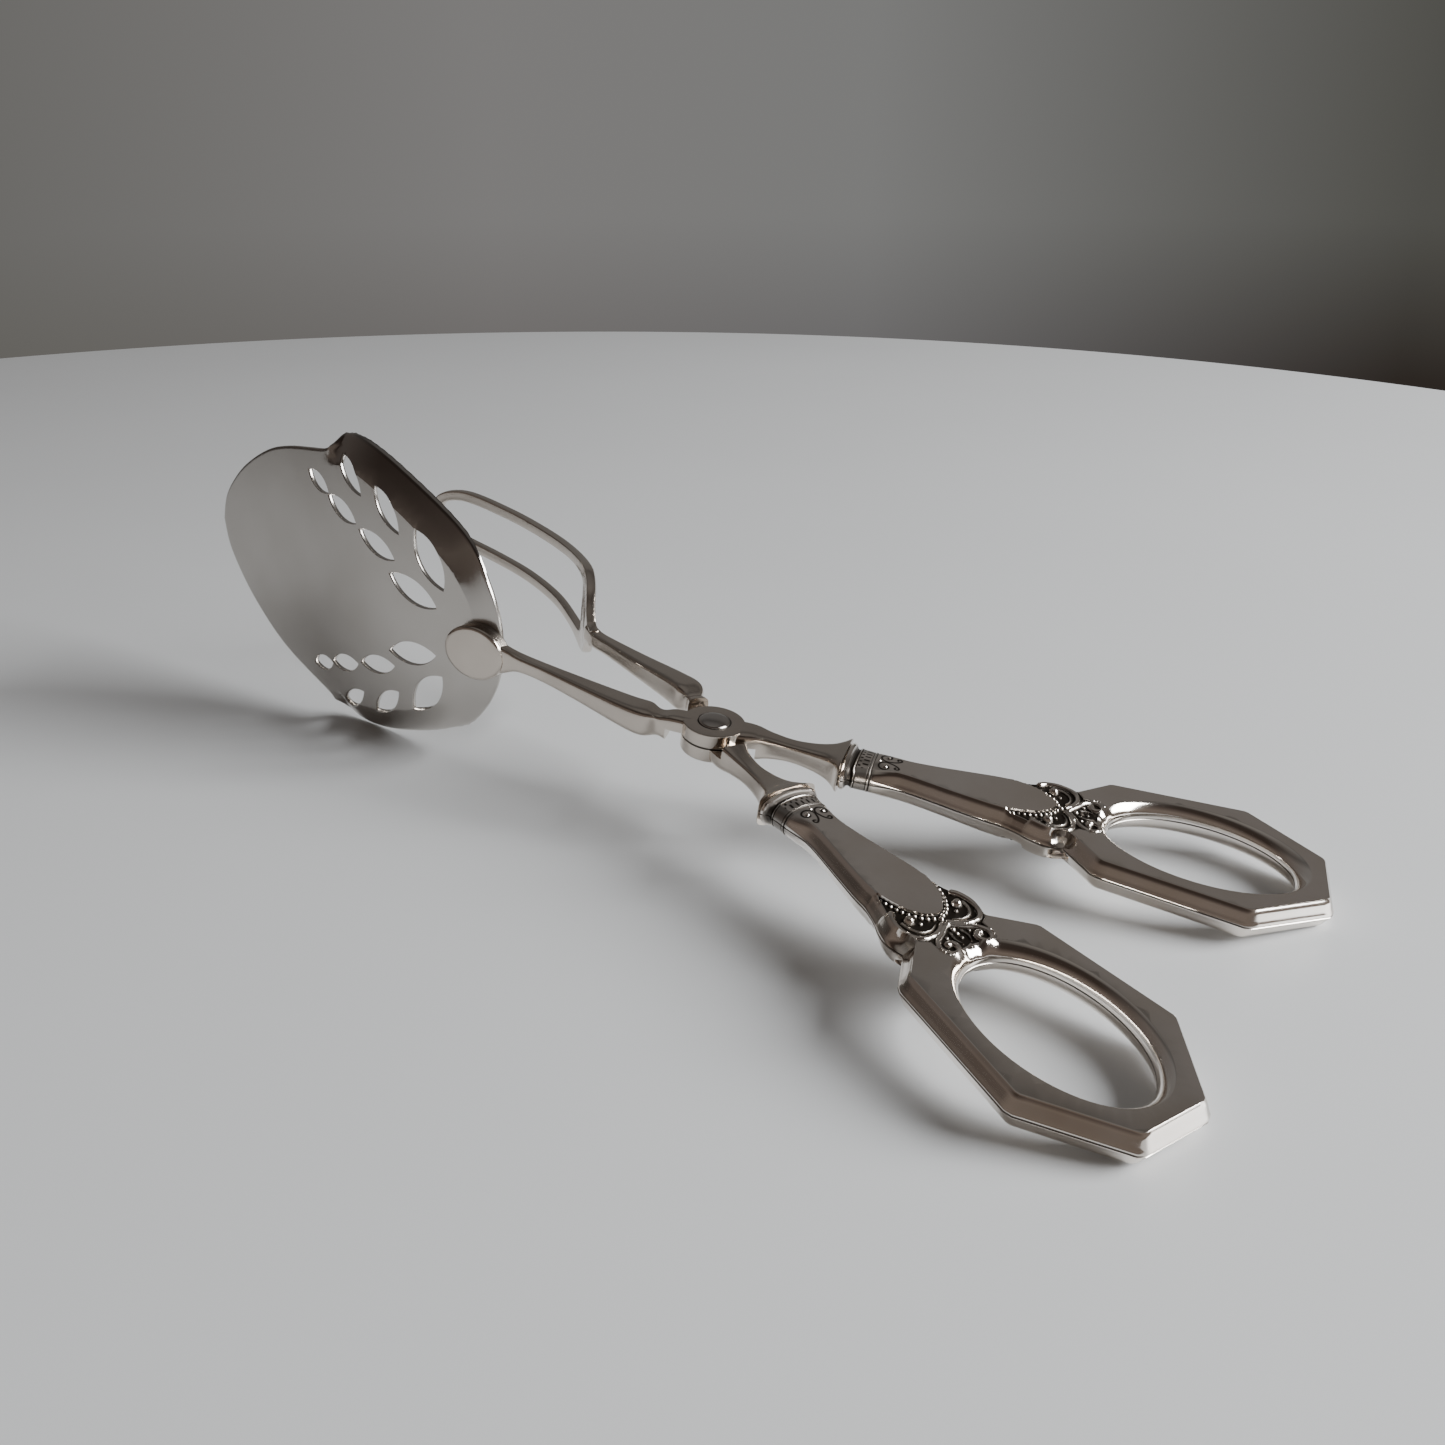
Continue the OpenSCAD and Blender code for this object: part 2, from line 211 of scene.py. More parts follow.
# ---------------------------------------------------------------- mesh builder
class Shape:
    """Collects points, faces and a 0-to-1 'dark' value for oxide and for painted shade, then makes the object."""

    def __init__(self):
        self.points, self.dark, self.faces, self.count = [], [], [], 0

    def add(self, points, dark=0.0):
        """Adds points and returns their indices."""
        points = np.asarray(points, float)
        start = self.count
        self.points.append(points)
        self.dark.append(np.broadcast_to(np.asarray(dark, float), len(points)).copy())
        self.count += len(points)
        return np.arange(start, self.count)

    def strip(self, one, two, flip=False):
        """Quads between two closed rings of the same length."""
        for a, b, c, d in zip(one, np.roll(one, -1), np.roll(two, -1), two):
            self.faces.append((d, c, b, a) if flip else (a, b, c, d))

    def loft(self, rings, flip=False):
        """Quads from each ring to the next."""
        for one, two in zip(rings, rings[1:]):
            self.strip(one, two, flip)

    def cap(self, ring, flip=False):
        """Closes a ring with one flat face."""
        self.faces.append(tuple(ring[::-1]) if flip else tuple(ring))

    def fan(self, ring, point, dark=0.0, flip=False):
        """Closes a ring with triangles to one middle point."""
        middle = int(self.add([point], dark)[0])
        for a, b in zip(ring, np.roll(ring, -1)):
            self.faces.append((b, a, middle) if flip else (a, b, middle))

    def patch(self, index, tris, flip=False):
        """Triangles over points already added, through their indices."""
        for t in tris:
            a, b, c = index[t]
            self.faces.append((c, b, a) if flip else (a, b, c))

    def make(self, name, place, body, nodes, material, sharp=35, even_weight=100):
        """The finished object, shaded smooth but for edges past the sharp angle."""
        pts = np.vstack(self.points) * MM
        mesh = bpy.data.meshes.new(name)
        faces = [tuple(int(i) for i in f) for f in self.faces]
        mesh.from_pydata([tuple(p) for p in pts], [], faces)
        mesh.transform(place)
        dark = mesh.attributes.new("dark", "FLOAT", "POINT")
        dark.data.foreach_set("value", np.concatenate(self.dark).astype(np.float32))
        mesh.validate()
        mesh.shade_smooth()
        mesh.set_sharp_from_angle(angle=math.radians(sharp))
        mesh.materials.append(material)
        piece = bpy.data.objects.new(name, mesh)
        bpy.context.scene.collection.objects.link(piece)
        even = piece.modifiers.new("even_shading", "WEIGHTED_NORMAL")
        even.keep_sharp = True
        even.weight = even_weight
        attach(piece, body)
        if nodes:
            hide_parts(*nodes)
        return piece


# ---------------------------------------------------------------- materials
def new_material(name):
    """A new node material: (material, node tree, its Principled node, object coordinates)."""
    mat = bpy.data.materials.new(name)
    mat.use_nodes = True
    tree = mat.node_tree
    coords = tree.nodes.new("ShaderNodeTexCoord").outputs["Object"]
    return mat, tree, tree.nodes["Principled BSDF"], coords


def feed(tree, socket, value):
    """Links an output to an input socket, or sets the input's own number or colour."""
    if isinstance(value, bpy.types.NodeSocket):
        tree.links.new(value, socket)
    else:
        socket.default_value = (*value, 1) if isinstance(value, tuple) else value


def maths(tree, operation, *values):
    """Result of a math node over numbers and outputs."""
    node = tree.nodes.new("ShaderNodeMath")
    node.operation = operation
    for socket, value in zip(node.inputs, values):
        feed(tree, socket, value)
    return node.outputs[0]


def mix(tree, factor, one, two):
    """Blend of two colours or outputs by a factor."""
    node = tree.nodes.new("ShaderNodeMix")
    node.data_type = "RGBA"
    for index, value in ((0, factor), (6, one), (7, two)):
        feed(tree, node.inputs[index], value)
    return node.outputs[2]


def noise(tree, coords, scale, detail=3.0, stretch=(1, 1, 1), rotate=0.0):
    """Noise value in object space, in waves per metre, stretched along an axis if asked."""
    place = tree.nodes.new("ShaderNodeMapping")
    place.inputs["Scale"].default_value = stretch
    place.inputs["Rotation"].default_value = (0, 0, rotate)
    tree.links.new(coords, place.inputs["Vector"])
    tex = tree.nodes.new("ShaderNodeTexNoise")
    tex.inputs["Scale"].default_value = scale
    tex.inputs["Detail"].default_value = detail
    tree.links.new(place.outputs["Vector"], tex.inputs["Vector"])
    return tex.outputs["Fac"]


def ramp(tree, value, stops):
    """Colour ramp over a value, from (position, colour or grey level) stops."""
    node = tree.nodes.new("ShaderNodeValToRGB")
    tree.links.new(value, node.inputs["Fac"])
    items = node.color_ramp.elements
    while len(items) < len(stops):
        items.new(0.5)
    for item, (at, shade) in zip(items, stops):
        item.position = at
        item.color = (*shade, 1) if isinstance(shade, tuple) else (shade, shade, shade, 1)
    return node.outputs["Color"]


def add_bump(tree, bsdf, height, distance, strength=1.0):
    """Carries a height into the surface's shading."""
    bump = tree.nodes.new("ShaderNodeBump")
    bump.inputs["Strength"].default_value = strength
    bump.inputs["Distance"].default_value = distance
    tree.links.new(height, bump.inputs["Height"])
    tree.links.new(bump.outputs["Normal"], bsdf.inputs["Normal"])


# Noise scales in waves per metre
CLOUD_SCALE, POLISH_SCALE, SCRATCH_SCALE, GRAIN_SCALE = 90, 160, 2200, 1500
GRIT_SCALE, PAINT_SCALE = 1800, 6
SCRATCH_THIN = 0.004     # width of a scratch, as a share of its noise
SCRATCH_ROUGH = 0.03     # roughness that a scratch adds
METAL_BUMP, GRIT_BUMP = 0.00002, 0.0001      # depth of scratches and grain, and of grit, m


def scratches(tree, coords, turns):
    """Fine random scratches: very stretched noise, turned in several directions."""
    total = None
    for turn in turns:
        streak = noise(tree, coords, SCRATCH_SCALE, 2.0, (1, 0.03, 0.6), turn)
        line = ramp(tree, streak, [(0.5, 0.0), (0.5 + SCRATCH_THIN, 1.0),
                                   (0.5 + 2 * SCRATCH_THIN, 0.0)])
        total = line if total is None else maths(tree, "MAXIMUM", total, line)
    return total


def metal(name, base, tint, rough, rough_span, scratch_turns, scratch_depth, oxide_and_shade_colour,
          oxide_and_shade_rough=0.5, grain=None, grain_depth=0.0):
    """Metal with cloudy tarnish, varied polish and scratches, and a second look where 'dark' says so:
    oxide in the hollows and joints, and painted shade (a darker colour) on the blade's polished rim."""
    mat, tree, bsdf, coords = new_material(name)
    bsdf.inputs["Metallic"].default_value = 1.0
    cloud = noise(tree, coords, CLOUD_SCALE, 4.0)
    colour = mix(tree, ramp(tree, cloud, [(0.35, 0.0), (0.75, 1.0)]), base, tint)
    polish = noise(tree, coords, POLISH_SCALE)
    roughness = ramp(tree, polish, [(0.3, rough - rough_span), (0.7, rough + rough_span)])
    fact = tree.nodes.new("ShaderNodeAttribute")
    fact.attribute_name = "dark"
    # second colour and roughness: oxide on silver and steel, painted shade on the blade's upper rim
    oxide_and_shade = ramp(tree, fact.outputs["Fac"], [(0.1, 0.0), (0.75, 1.0)])
    roughness = mix(tree, oxide_and_shade, roughness, (oxide_and_shade_rough, oxide_and_shade_rough, oxide_and_shade_rough))
    height = scratches(tree, coords, scratch_turns)
    feed(tree, bsdf.inputs["Base Color"], mix(tree, oxide_and_shade, colour, oxide_and_shade_colour))
    feed(tree, bsdf.inputs["Roughness"],
         maths(tree, "MULTIPLY_ADD", height, SCRATCH_ROUGH, roughness))
    if grain:
        brushed = noise(tree, coords, GRAIN_SCALE, 3.0, grain)
        height = maths(tree, "MULTIPLY_ADD", brushed, grain_depth, height)
    add_bump(tree, bsdf, height, METAL_BUMP, scratch_depth)
    return mat


SILVER = metal("old_silver", (0.86, 0.81, 0.76), (0.78, 0.71, 0.63), 0.10, 0.02,
               (0.3, 1.4, 2.5), 0.04, oxide_and_shade_colour=(0.035, 0.028, 0.022))
STEEL = metal("polished_steel", (0.67, 0.61, 0.545), (0.58, 0.52, 0.46), 0.13, 0.03,
              (0.2, 1.7), 0.2, oxide_and_shade_colour=(0.05, 0.045, 0.04))
# its second colour is painted shade: darker on the upper wing's polished rim, for the dark room it reflects; the
# low roughness there is real polish
BLADE_STEEL = metal("satin_steel", (0.585, 0.557, 0.524), (0.54, 0.51, 0.475), 0.22, 0.01,
                    (0.1, 1.5), 0.05, oxide_and_shade_colour=(0.40, 0.38, 0.36), oxide_and_shade_rough=0.07,
                    grain=(1.0, 0.04, 1.0), grain_depth=0.12)
RIVET_STEEL = metal("rivet_steel", (0.56, 0.53, 0.50), (0.48, 0.45, 0.42), 0.10, 0.02,
                    (0.6, 2.0), 0.15, oxide_and_shade_colour=(0.05, 0.045, 0.04))


def cement_material():
    """Dark gritty cement."""
    mat, tree, bsdf, coords = new_material("handle_cement")
    grit = noise(tree, coords, GRIT_SCALE, 6.0)
    feed(tree, bsdf.inputs["Base Color"],
         ramp(tree, grit, [(0.3, (0.05, 0.035, 0.025)), (0.7, (0.16, 0.12, 0.08))]))
    bsdf.inputs["Roughness"].default_value = 0.85
    add_bump(tree, bsdf, grit, GRIT_BUMP)
    return mat


# ---------------------------------------------------------------- handle ornament
def mirrored(path):
    """A path and its mirror image."""
    path = np.array(path, float)
    return [path, path * (-1, 1)]


def spiral(cx, cy, r0, r1, a0, turn, steps=26):
    """Points on a spiral round (cx, cy), radius r0 to r1, from angle a0 through turn degrees."""
    t = np.linspace(0, 1, steps)
    a = np.radians(a0 + turn * t)
    r = r0 + (r1 - r0) * t
    return np.stack([cx + r * np.cos(a), cy + r * np.sin(a)], 1)


ORNAMENT_FROM, ORNAMENT_TO, COLLAR_FROM = 31, 50, 62     # places along the handle
# Right-hand half of each feature, (across, along) in the handle frame
PANEL_EDGE = curve([(0, 40.2), (1.5, 40.8), (2.9, 42.3), (3.8, 44.2), (4.4, 46.6), (4.7, 49)], 12)
UPPER_LOBE = curve([(0.6, 38.7), (2.0, 37.7), (3.8, 37.2), (5.4, 37.6), (6.4, 38.9), (6.6, 40.7),
                    (6.2, 42.4), (5.5, 43.3)], 5)
UPPER_RIB = curve([(1.6, 38.9), (3.0, 38.3), (4.4, 38.6), (5.3, 39.7), (5.5, 41.0)], 5)
LOWER_LOBE = curve([(0.5, 38.0), (1.9, 37.1), (3.3, 36.3), (4.2, 35.1), (4.1, 33.9), (3.2, 33.2),
                    (2.2, 33.5), (1.9, 34.5), (2.5, 35.1)], 5)
LOWER_RIB = curve([(0.9, 36.5), (1.15, 35.4), (0.8, 34.4)], 5)
FIELD = np.array([(0, 40.2), (1.5, 40.8), (2.9, 42.3), (3.8, 44.2), (4.4, 46.6), (4.9, 47.6),
                  (5.6, 45.0), (6.6, 42.6), (7.1, 40.6), (6.9, 38.6), (5.8, 37.1), (4.6, 36.4),
                  (4.6, 35.0), (4.3, 33.4), (3.2, 32.7), (1.6, 33.2), (0, 33.9)])
BEAD_LINE = offset(PANEL_EDGE[6:-9], 0.45)
# Raised ribs: (path, radius at its start, radius at its end)
RIBS = [(UPPER_LOBE, 0.34, 0.52), (LOWER_LOBE, 0.32, 0.50), (UPPER_RIB, 0.15, 0.30),
        (LOWER_RIB, 0.25, 0.15)]
RIB_PROUD, BEAD_PROUD = 1.15, 1.1            # height of ribs and beads for their radius
FIELD_SINK = 0.28        # depth of the oxidised ground under the ribs
FIELD_CLEAN = (0.05, 0.30)                   # rib heights between which the oxide ends
GROOVE_W, GROOVE_DARK = 0.28, 0.7            # shaded line round the ornament


def bead_row(path, count, r0, r1):
    """(x, y, radius) of beads spaced evenly along a path."""
    step = np.linalg.norm(np.diff(path, axis=0), axis=1)
    run = np.concatenate([[0], np.cumsum(step)])
    at = np.linspace(0, run[-1], count)
    x, y = np.interp(at, run, path[:, 0]), np.interp(at, run, path[:, 1])
    return np.stack([x, y, np.linspace(r0, r1, count)], 1)


BEADS = np.vstack([bead_row(BEAD_LINE, 11, 0.36, 0.26), [(4.3, 41.0, 0.78), (3.2, 39.9, 0.3),
                   (2.9, 35.0, 0.5), (2.0, 36.1, 0.26), (0.8, 38.5, 0.3)]])
BEADS = np.vstack([BEADS, BEADS * (-1, 1, 1), [(0, 39.4, 0.42), (0, 38.2, 0.45), (0, 37.1, 0.36),
                                              (0, 36.2, 0.3), (0, 35.3, 0.26)]])

# Rings and grooves of the collar along the front end: (along, rise, oxide)
COLLAR = np.array([
    (68.75, 0, 0), (68.85, -0.06, 0.9), (68.98, 0.03, 0.6), (69.1, 0.09, 0), (69.22, 0.05, 0.2),
    (69.35, -0.06, 0.9), (69.45, 0, 0.1), (71.25, 0, 0.1), (71.36, -0.1, 1), (71.46, 0.0, 0.8),
    (71.56, 0.08, 0.1), (71.66, -0.02, 0.6), (71.8, -0.2, 0.9), (72.0, -0.28, 0.7),
    (72.3, -0.28, 0.7), (72.45, 0.05, 0.7), (72.66, 0.46, 0.1), (73.0, 0.6, 0), (73.25, 0.5, 0),
    (73.5, 0.15, 0.5)])
VOLUTE = np.vstack([spiral(1.4, 67.05, 0.35, 1.3, 200, 345),
                    curve([(0.2, 66.5), (0.4, 65.8), (0.8, 65.15), (1.3, 64.8), (1.65, 65.1),
                           (1.5, 65.5), (1.15, 65.4)], 4)])
# Two rows of bars round the crown: (from, to, phase)
CROWN_ROWS, CROWN_PITCH = ((69.6, 70.5, 0.0), (70.7, 71.2, 0.5)), 1.0
CROWN_BAR = 0.33         # half a bar, as a share of the pitch
CROWN_CUT, VOLUTE_CUT = 0.25, 0.22           # depths
VOLUTE_W, VOLUTE_TOP = 0.2, 68.6             # half width of the cut line, and where it ends
COLLAR_BEADS = np.array([(1.4, 67.05, 0.4), (-1.4, 67.05, 0.4), (0, 68.2, 0.24)])
COLLAR_BEAD_PROUD = 0.7
FACE_TURN, CROWN_DROP = (64.5, 69.5), 0.9    # where the face turns round, and its fall at the side
SIDE_TURN = (64, 69)     # where the side turns round
SIDE_OXIDE = 0.5         # oxide on the collar's side between the rings


def ring_rise(y):
    """How far the collar's rings stand out at a place along the handle."""
    return np.interp(y, COLLAR[:, 0], COLLAR[:, 1]) * (y > COLLAR[0, 0])


PANEL_PROUD = 0.32       # height of the panel's tip above the flat face
PANEL_FADE = (42, 60)    # where the panel sinks back into the face
PANEL_STEP = 0.06        # half the width of the step down from the panel's edge


def panel_share(points):
    """1 on the grip's long panel, 0 on the loop's side of its rounded tip."""
    x, y = np.abs(points[:, 0]), points[:, 1]
    side = np.sign(y - np.interp(x, PANEL_EDGE[:, 0], PANEL_EDGE[:, 1]))
    gap = np.full(len(points), 9.0)
    close = (y > 39) & (y < 50)
    gap[close] = distance(np.column_stack([x, y])[close], PANEL_EDGE)[0]
    return smoothstep(side * gap, -PANEL_STEP, PANEL_STEP)


def tubes(points, paths, r0, r1):
    """Height of half-round ribs along paths, tapering from r0 to r1."""
    rise = np.zeros(len(points))
    for path in paths:
        gap, along = distance(points, path)
        r = r0 + (r1 - r0) * along
        rise = np.maximum(rise, np.sqrt(np.clip(r * r - gap * gap, 0, None)))
    return rise


def bumps(points, beads):
    """Height of round beads."""
    rise = np.zeros(len(points))
    for x, y, r in beads:
        gap = np.hypot(points[:, 0] - x, points[:, 1] - y)
        rise = np.maximum(rise, np.sqrt(np.clip(r * r - gap * gap, 0, None)) * BEAD_PROUD)
    return rise


def relief(points):
    """(height above the flat face, oxide) over the handle's face."""
    y = points[:, 1]
    dark = np.zeros(len(points))
    # the long panel stands proud towards its tip
    panel = panel_share(points)
    rise = panel * PANEL_PROUD * (1 - smoothstep(y, *PANEL_FADE))
    # butterfly ornament
    near = (y > ORNAMENT_FROM) & (y < ORNAMENT_TO)
    p = points[near]
    field = np.vstack([FIELD, FIELD[-2:0:-1] * (-1, 1)])
    within = inside(p, [field])
    made = bumps(p, BEADS)
    for path, start_r, end_r in RIBS:
        made = np.maximum(made, tubes(p, mirrored(path), start_r, end_r))
    carved = np.where(within, -FIELD_SINK, 0.0) + made * RIB_PROUD
    sunk = within & (panel[near] < 0.6)
    dark[near] = np.where(sunk, 1 - smoothstep(made, *FIELD_CLEAN), 0)
    border = distance(p, np.vstack([field, field[:1]]))[0]
    groove = np.clip(1 - border / GROOVE_W, 0, 1) * GROOVE_DARK
    dark[near] = np.maximum(dark[near], np.where(~within & (panel[near] < 0.5), groove, 0))
    rise[near] = np.where(panel[near] > 0.5, rise[near], carved)
    # collar: rings, crown band, volutes
    front = y > COLLAR_FROM
    p = points[front]
    gaps = np.zeros(len(p), bool)
    for lo, hi, phase in CROWN_ROWS:
        between = np.abs((p[:, 0] / CROWN_PITCH + phase) % 1 - 0.5) > CROWN_BAR
        gaps |= (p[:, 1] > lo) & (p[:, 1] < hi) & between
    aside = np.minimum(distance(p, VOLUTE)[0], distance(p, VOLUTE * (-1, 1))[0])
    cut = np.clip(1.3 - aside / VOLUTE_W, 0, 1) * (p[:, 1] < VOLUTE_TOP)
    carved = np.maximum(-VOLUTE_CUT * cut - CROWN_CUT * gaps,
                        bumps(p, COLLAR_BEADS) * COLLAR_BEAD_PROUD)
    rise[front] = carved + ring_rise(p[:, 1]) - crown_drop(p)
    dark[front] = np.maximum.reduce([cut, gaps * 1.0, ring_dark(p[:, 1])])
    return rise, dark


def crown_drop(p):
    """How far the collar's face falls away to each side, as it turns from flat to round."""
    return CROWN_DROP * smoothstep(p[:, 1], *FACE_TURN) * (p[:, 0] / 4.0) ** 2


def ring_dark(y):
    """Oxide in the collar's grooves."""
    return np.interp(y, COLLAR[:, 0], COLLAR[:, 2]) * (y > COLLAR[0, 0])


def collar_dark(y):
    """Oxide over the collar's side, all but the crests of its rings."""
    crest = np.clip(ring_rise(y) / 0.15, 0, 1)
    return np.maximum(ring_dark(y), smoothstep(y, 67.8, 69) * (1 - crest) * SIDE_OXIDE)


# ---------------------------------------------------------------- handle shell
GRIP = curve([(3.5, 72.2), (3.1, 70.6), (2.85, 68.2), (2.35, 65.3), (2.35, 63.2), (2.7, 60.5),
              (3.2, 57.5), (3.7, 54.6), (4.35, 50.5), (4.6, 48.0), (5.0, 46.2), (5.6, 44.4),
              (6.5, 42.4), (6.9, 40.6), (6.6, 38.9)], 4)
LOOP_CORNERS = [(6.2, 37.6), (11.6, 32.5), (14.1, 11.35), (5.5, 0.0)]
CORNER_CUT = 0.35
# Side wall from the face's broken edge to the seam: (outward share of the bevel where the side is
# flat, the same where the collar is round, height share, share of the cove, oxide at the seam)
SIDE_ROWS = [(0.04, 0.10, 0.90, 0.2, 0), (0.20, 0.36, 0.82, 0.75, 0), (0.35, 0.62, 0.68, 1.0, 0),
             (0.62, 0.88, 0.40, 1.0, 0), (0.80, 0.97, 0.22, 0.5, 0), (0.92, 1.0, 0.14, 0.2, 0),
             (0.97, 1.0, 0.055, 0, 0), (0.90, 0.93, 0.024, 0, 0.5), (0.86, 0.89, 0.0, 0, 0.8)]
EDGE_BREAK = 0.22        # rounding of the face's edge
EDGE_RISE = (-1.2, 0.5)  # limits to how far the relief carries the side wall with it
COVE_Y, COVE_LONG, COVE_DEEP = 38.4, 1.35, 1.5    # hollow in front of the loop's shoulder
COVE_OXIDE = 0.35
HOLE_ROUND = 2.2         # how early the hole's wall turns inwards on its way down


def outline_pitch(y):
    """Finer points where the side carries the collar's rings or the ornament."""
    if y > 68.3:
        return 0.16
    return 0.3 if 37 < y < 48 else 0.9


def face_outline():
    """Counter-clockwise outline of the flat face, its loop corners just broken."""
    right = [(3.5, FRONT_Y)] + [tuple(p) for p in GRIP]
    corners = [np.array(p) for p in [right[-1]] + LOOP_CORNERS + [(-5.5, 0.0)]]
    for before, at, after in zip(corners, corners[1:], corners[2:]):
        for other in (before, after):
            way = other - at
            right.append(tuple(at + way / np.linalg.norm(way) * CORNER_CUT))
    half = np.array(right)
    return resample(np.vstack([half[::-1], half * (-1, 1)]), outline_pitch)


def oval(scale, grow=0.0, steps=144):
    """The finger hole's outline, scaled and then grown."""
    a = np.linspace(0, 2 * math.pi, steps, endpoint=False)
    return np.stack([(HOLE_B * scale + grow) * np.cos(a),
                     HOLE_Y + (HOLE_A * scale + grow) * np.sin(a)], 1)


def cove_depth(p):
    """The hollow scooped from each side just in front of the loop's shoulder."""
    return COVE_DEEP * np.exp(-((p[:, 1] - COVE_Y) / COVE_LONG) ** 2)


def hole_wall():
    """(scale, growth, height, oxide) down the finger hole's round wall to the seam."""
    rows = [(1.0, 0.06, HANDLE_H - 0.06, 0.0)]
    for k in range(1, 10):
        down = k / 10
        inward = (1 - HOLE_WAIST) * (1 - (1 - down) ** HOLE_ROUND)
        rows.append((1 - inward, 0.0, (HANDLE_H - 0.1) * (1 - down), 0.0))
    return rows + [(HOLE_WAIST, 0.0, 0.12, 0.2), (HOLE_WAIST, 0.09, 0.05, 0.6),
                   (HOLE_WAIST, 0.14, 0.0, 0.9)]


def handle_half(which, level):
    """One stamped half of a handle; level is 1 for the upper half and -1 for the lower."""
    shape = Shape()
    flip = level < 0
    outline = face_outline()
    out = normals_2d(outline)
    rings = ring_rise(outline[:, 1])
    cove = cove_depth(outline)
    roundness = smoothstep(outline[:, 1], *SIDE_TURN)
    edge_rise = np.zeros(len(outline))

    def ring(grow, z, dark=0.0):
        p = outline + out * (grow + rings)[:, None]
        p[:, 1] = np.minimum(p[:, 1], FRONT_Y)
        return shape.add(np.column_stack([p, (z + edge_rise * z / HANDLE_H) * level]), dark)

    # flat face with its relief
    top_loop = outline + out * (rings - EDGE_BREAK)[:, None]
    top_loop[:, 1] = np.minimum(top_loop[:, 1], FRONT_Y)
    hole_top = oval(1.0, EDGE_BREAK)
    fine, finest = ((0.17, 0.12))
    coarse = hex_grid((-16, -1), (16, 75), 2.4)
    y = coarse[:, 1]
    away = (y < ORNAMENT_FROM - 0.5) | ((y > ORNAMENT_TO - 0.5) & (y < COLLAR_FROM))
    creases = np.vstack([offset(path, gap) for path in mirrored(PANEL_EDGE)
                         for gap in (-PANEL_STEP, PANEL_STEP)]
                        + [np.array([(x, y) for y in COLLAR[:, 0]])
                           for x in np.arange(-4.2, 4.21, 0.15)])
    grids = [(hex_grid((-7.5, 31.5), (7.5, 49), fine), fine * 0.6),
             (hex_grid((-4.5, 62.8), (4.5, 73.5), finest), finest * 0.6), (coarse[away], 1.0)]
    pts, tris = fill([top_loop, hole_top], grids, creases)
    rise, dark = relief(pts)
    n, m = len(outline), len(hole_top)
    face = shape.add(np.column_stack([pts, (HANDLE_H + rise) * level]), dark)
    shape.patch(face, tris, flip)
    # outer side, from the broken top edge down to the seam
    edge_rise = np.clip(rise[:n], *EDGE_RISE)
    oxide = collar_dark(outline[:, 1])
    rows = [face[:n], ring(-0.06, HANDLE_H - 0.07, oxide)]
    for flat, full, height, hollow, seam in SIDE_ROWS:
        grow = BEVEL_W * (flat + (full - flat) * roundness) - cove * hollow
        shade = np.maximum.reduce([np.full(n, float(seam)), oxide, cove * hollow * COVE_OXIDE])
        rows.append(ring(grow, HANDLE_H * height, shade))
    shape.loft(rows, not flip)
    # wall of the finger hole, and the closing face on the seam
    hole = [face[n:n + m]]
    lip = rise[n:n + m] / HANDLE_H
    for scale, grow, height, shade in hole_wall():
        z = height * (1 + lip * height / HANDLE_H) * level
        hole.append(shape.add(np.column_stack([oval(scale, grow), z]), shade))
    shape.loft(hole, flip)
    base = np.vstack(shape.points)
    seam_loops = [base[rows[-1]][:, :2], base[hole[-1]][:, :2]]
    shape.patch(np.concatenate([rows[-1], hole[-1]]), fill(seam_loops, [])[1], not flip)
    name = f"{which}_shell_{'upper' if level > 0 else 'lower'}"
    body = SERVER if which == FAR else LOOP
    return shape.make(name + "_silver", handle_frame(which), body, [name], SILVER, 32)


# ---------------------------------------------------------------- arms
SIDES = 44               # points round an arm's section
SQUARENESS = 0.42        # 1 gives an ellipse, 0 a box


def rounded_ring(half_w, half_h):
    """Outline of an arm's section, between an ellipse and a box."""
    a = (np.arange(SIDES) + 0.5) * 2 * math.pi / SIDES
    c, s = np.cos(a), np.sin(a)
    return np.stack([np.sign(c) * np.abs(c) ** SQUARENESS * half_w,
                     np.sign(s) * np.abs(s) ** SQUARENESS * half_h], 1)


def bar(shape, rows, level):
    """Loft along (x, y, half width, half height) rows in the rivet frame. The part within ROOM_R
    of the rivet keeps to its own side of the slit, ending in a square shoulder."""
    r = curve(rows, 8)
    way = headings(r[:, :2])
    left = np.stack([-way[:, 1], way[:, 0]], 1)
    reach = np.hypot(r[:, 0], r[:, 1])
    rings = []

    def ring(k, tight):
        q = rounded_ring(r[k, 2], r[k, 3])
        z = q[:, 1].copy()
        if tight:
            z = np.maximum(z, LAP) if level > 0 else np.minimum(z, -LAP)
        xy = r[k, :2] + left[k] * q[:, :1]
        return shape.add(np.column_stack([xy, z]), 0)
    for k in range(len(r)):
        tight = reach[k] < ROOM_R
        if k > 0 and (reach[k - 1] < ROOM_R) != tight:
            rings.append(ring(k, not tight))
        rings.append(ring(k, tight))
    shape.loft(rings)
    shape.cap(rings[0], True)
    shape.cap(rings[-1])


def lathe(shape, profile, steps=96):
    """Closed turned solid round the rivet's axis from (radius, height, dark) rows."""
    a = np.linspace(0, 2 * math.pi, steps, endpoint=False)
    rings = [shape.add(np.column_stack([r * np.cos(a), r * np.sin(a), np.full(steps, z)]), d)
             for r, z, d in profile]
    shape.loft(rings)
    return rings


